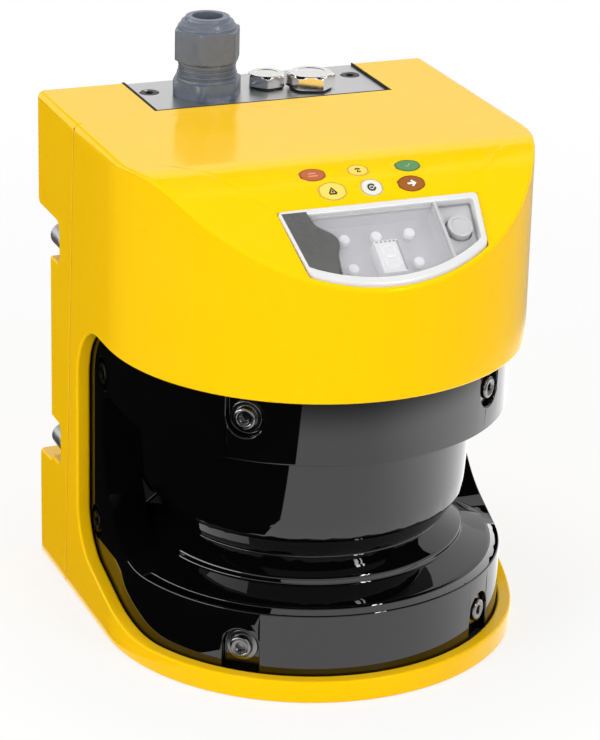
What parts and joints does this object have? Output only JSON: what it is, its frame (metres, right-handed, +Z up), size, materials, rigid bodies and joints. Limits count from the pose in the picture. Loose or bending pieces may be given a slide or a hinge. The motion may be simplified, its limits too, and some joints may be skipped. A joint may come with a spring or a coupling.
{
  "type": "safety laser scanner",
  "caption": "Yellow safety laser scanner with a black optics cover round a turning mirror, a sloped display panel, a rear connection module and a cable gland.",
  "frame": {"origin": "middle of the housing's footprint, on the surface that it stands on", "axes": "+Z up, -Y towards the front with the scan window, +X to the right seen from the front"},
  "size_m": [0.155, 0.16, 0.2136],
  "materials": {
    "yellow_paint": "semi-gloss",
    "black_cover": "gloss",
    "dark_polyamide": "satin",
    "grey_plate": "satin",
    "nickel": "satin",
    "steel": "satin",
    "black_steel": "black oxide",
    "rubber": "matte",
    "white_plastic": "gloss",
    "grey_tray": "satin",
    "clear_window": "polished",
    "lens_glass": "polished",
    "led_lens": "gloss",
    "symbol_red": "satin",
    "symbol_green": "satin",
    "symbol_yellow": "satin",
    "symbol_white": "satin",
    "symbol_orange": "satin",
    "circuit_board": "satin",
    "aluminium": "satin",
    "copper_winding": "satin",
    "magnet": "matte",
    "brass": "satin",
    "mirror_glass": "polished",
    "black_plastic": "matte"
  },
  "bodies": {
    "base": {"sensor_head_housing": "yellow_paint", "io_module_housing": "yellow_paint", "seam_seal": "rubber", "module_screws": "steel", "mounting_inserts": "steel", "optics_cover": "black_cover", "optics_cover_seal": "rubber", "optics_cover_screws": "black_steel", "display_bezel": "white_plastic", "display_window": "clear_window", "display_tray": "grey_tray", "display_side_insert": "dark_polyamide", "display_board": "circuit_board", "seven_segment_display": "white_plastic", "status_leds": "led_lens", "config_connector": "nickel", "status_symbol_red": "symbol_red", "status_symbol_green": "symbol_green", "status_symbols_yellow": "symbol_yellow", "status_symbol_white": "symbol_white", "status_symbol_orange": "symbol_orange", "system_plug_plate": "grey_plate", "system_plug_seal": "rubber", "system_plug_screws": "black_steel", "plug_connector": "black_plastic", "memory_board": "circuit_board", "gland_body": "dark_polyamide", "gland_seal_insert": "rubber", "blanking_plug_small": "nickel", "blanking_plug_large": "nickel", "blanking_plug_rings": "rubber", "motor_bracket": "aluminium", "ball_bearings": "steel", "motor_stator": "copper_winding", "encoder_sensor": "black_plastic", "lens_tube": "black_plastic", "receiver_lens": "lens_glass", "sender_tube": "dark_polyamide", "collimator_lens": "lens_glass", "sender_bridge": "aluminium", "laser_module": "brass", "detector_board": "circuit_board", "detector_posts": "steel", "main_board": "circuit_board", "main_board_posts": "steel", "io_board": "circuit_board", "io_board_posts": "steel", "board_connector": "black_plastic", "io_socket": "black_plastic", "monitor_boards": "circuit_board", "reference_target": "white_plastic"},
    "mirror_rotor": {"rotor_cup": "aluminium", "rotor_magnet": "magnet", "rotor_shaft": "steel", "encoder_disc": "aluminium", "mirror_carrier": "dark_polyamide", "deflecting_mirror": "mirror_glass"},
    "config_connector_cap": {"config_cap": "grey_tray"},
    "gland_nut": {"gland_cap_nut": "dark_polyamide"}
  },
  "joints": [
    {"name": "mirror_spin", "type": "hinge", "parent": "base", "child": "mirror_rotor", "pos_m": [0, -0.0025, 0.063], "axis": [0, 0, 1], "continuous": true},
    {"name": "config_cap_pull", "type": "slide", "parent": "base", "child": "config_connector_cap", "axis": [0, -0.5807, 0.8141], "range_m": [0, 0.012]},
    {"name": "gland_nut_turn", "type": "hinge", "parent": "base", "child": "gland_nut", "pos_m": [-0.018, 0.06, 0.2], "axis": [0, 0, 1], "range_deg": [0, 1080]}
  ]
}
